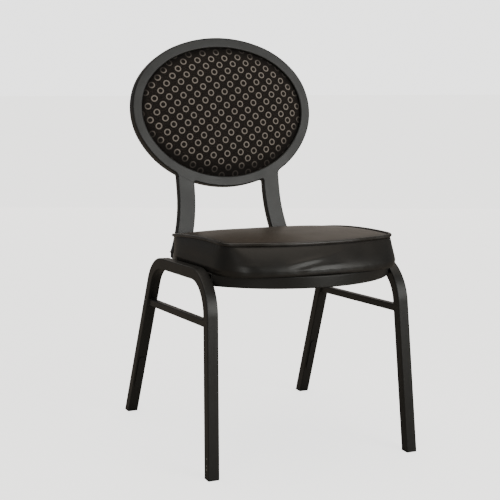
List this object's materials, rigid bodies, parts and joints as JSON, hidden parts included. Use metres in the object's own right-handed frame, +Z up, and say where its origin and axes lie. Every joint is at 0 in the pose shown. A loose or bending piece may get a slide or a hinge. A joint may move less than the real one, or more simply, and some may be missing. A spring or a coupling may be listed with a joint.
{
  "type": "choir chair",
  "caption": "Stacking choir chair: bent square-tube leg frames with stretchers, piped upholstered seat, oval ring back with a dotted-ring fabric pad on two uprights.",
  "frame": {"origin": "floor level, midway between the left and right feet and midway between the front of the bowed apron and the rearmost point of the back ring", "axes": "+Z up, -Y the front of the seat, +X the sitter's left, which is the right side in a front view"},
  "size_m": [0.5094, 0.6434, 0.9359],
  "materials": {
    "frame_coat": "satin black powder coat",
    "seat_vinyl": "smooth black-brown vinyl, semi-gloss",
    "ring_fabric": "dark woven fabric with pale rings",
    "lining": "black nonwoven",
    "foam": "open-cell foam",
    "plywood": "raw birch plywood",
    "hardboard": "raw hardboard",
    "zinc": "bright zinc plate",
    "black_plastic": "moulded black"
  },
  "bodies": {
    "root": {"side_frame_left": "frame_coat", "side_frame_right": "frame_coat", "side_stretcher_left": "frame_coat", "side_stretcher_right": "frame_coat", "front_apron": "frame_coat", "seat_bearer_left": "frame_coat", "seat_bearer_right": "frame_coat", "rear_cross_rail": "frame_coat", "front_seat_bar": "frame_coat", "rear_seat_bar": "frame_coat", "back_ring": "frame_coat", "back_upright_left": "frame_coat", "back_upright_right": "frame_coat", "back_tabs": "frame_coat", "seat_board": "plywood", "seat_foam": "foam", "seat_top_cover": "seat_vinyl", "seat_boxing": "seat_vinyl", "seat_piping": "seat_vinyl", "seat_dust_cover": "lining", "seat_t_nuts": "zinc", "seat_screws": "zinc", "back_board": "plywood", "back_foam": "foam", "back_front_cover": "ring_fabric", "back_t_nuts": "zinc", "back_screws": "zinc", "back_rear_panel": "hardboard", "back_rear_foam": "foam", "back_rear_cover": "seat_vinyl", "back_panel_clips": "black_plastic", "glide_front_left": "black_plastic", "glide_front_right": "black_plastic", "glide_rear_left": "black_plastic", "glide_rear_right": "black_plastic", "stack_bumper_left": "black_plastic", "stack_bumper_right": "black_plastic"}
  },
  "joints": []
}
